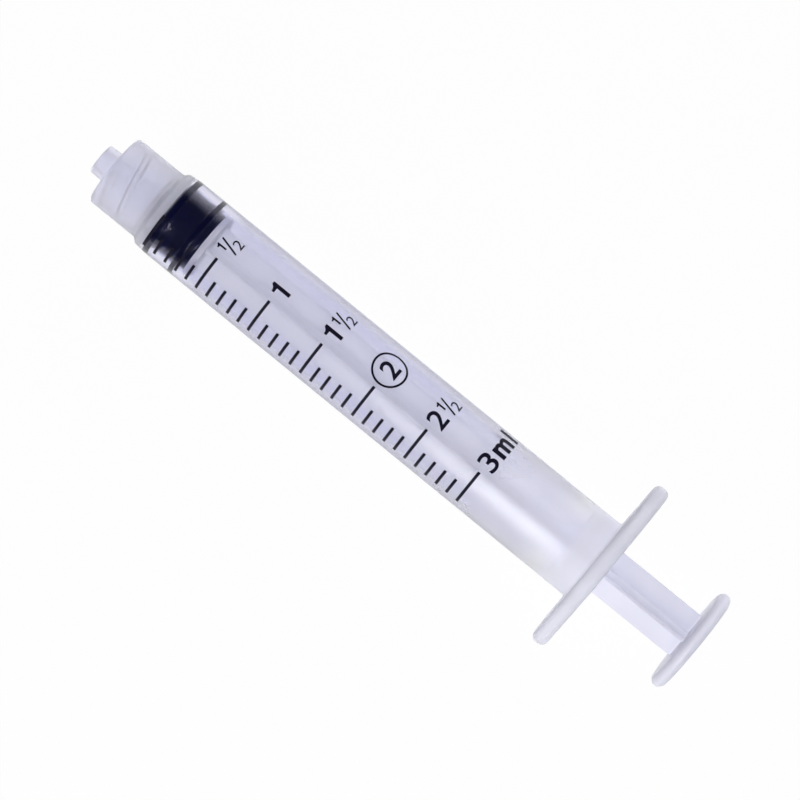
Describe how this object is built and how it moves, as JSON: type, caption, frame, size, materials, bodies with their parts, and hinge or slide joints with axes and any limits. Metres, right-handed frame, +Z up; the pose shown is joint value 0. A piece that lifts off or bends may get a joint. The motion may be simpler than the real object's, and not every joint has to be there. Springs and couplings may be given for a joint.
{
  "type": "luer lock syringe",
  "caption": "Disposable luer lock syringe for small doses: clear barrel with finger flange and printed scale, rubber seal and cross-shaped plunger, pushed home.",
  "frame": {"origin": "on the surface that the syringe lies on, under the middle of its bounding box", "axes": "+X runs from the nozzle to the thumb press (the syringe's own axis rises from the surface towards +X by the rest tilt), +Z is up, and the printed scale looks up"},
  "size_m": [0.0912, 0.0236, 0.0143],
  "materials": {
    "barrel_plastic": "clear moulded polypropylene, slightly milky, polished",
    "scale_ink": "printed black ink",
    "seal_rubber": "dark rubber with a thin film of silicone oil",
    "plunger_plastic": "milky moulded polypropylene, satin"
  },
  "bodies": {
    "barrel": {"barrel": "barrel_plastic", "scale_marks": "scale_ink"},
    "seal": {"piston_seal": "seal_rubber"},
    "plunger": {"plunger": "plunger_plastic"}
  },
  "joints": [
    {"name": "plunger_slide", "type": "slide", "parent": "barrel", "child": "seal", "axis": [0.9996, 0, 0.0267], "range_m": [0, 0.05456]},
    {"name": "plunger_turn", "type": "hinge", "parent": "seal", "child": "plunger", "pos_m": [-0.03481, 0, 0.00536], "axis": [0.9996, 0, 0.0267], "continuous": true}
  ]
}
